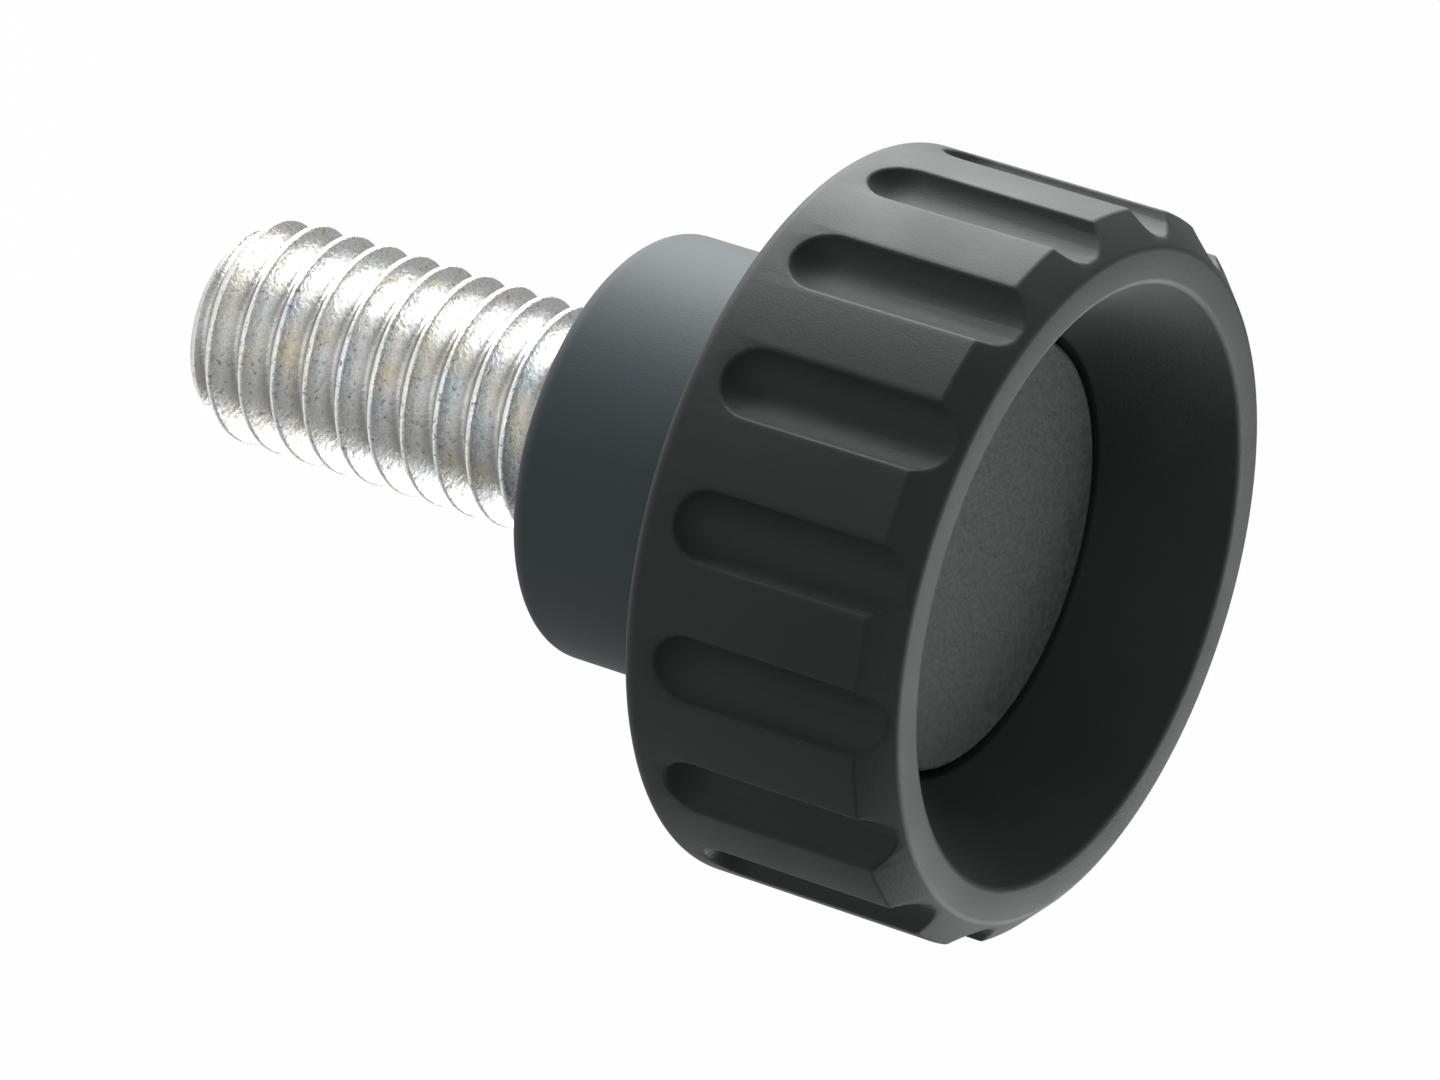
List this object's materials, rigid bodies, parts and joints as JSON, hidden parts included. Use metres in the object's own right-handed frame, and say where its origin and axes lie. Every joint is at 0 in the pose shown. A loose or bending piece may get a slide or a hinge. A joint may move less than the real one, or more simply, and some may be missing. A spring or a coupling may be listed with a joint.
{
  "type": "adjustment knob",
  "caption": "Round fluted plastic knob with a dished face, a smooth hub and a fixed threaded steel stud, for adjusting or clamping by hand.",
  "frame": {"origin": "centre of the hub's seat face, where the stud comes out", "axes": "+Z along the knob's axis, out of the dished face; the stud points along -Z"},
  "size_m": [0.019, 0.019, 0.0254],
  "materials": {
    "head_plastic": "fine matte moulded, black",
    "stud_steel": "bright zinc plated",
    "cap_plastic": "grained matte moulded, black"
  },
  "bodies": {
    "root": {"knob_head": "head_plastic", "threaded_stud": "stud_steel", "closing_cap": "cap_plastic"}
  },
  "joints": []
}
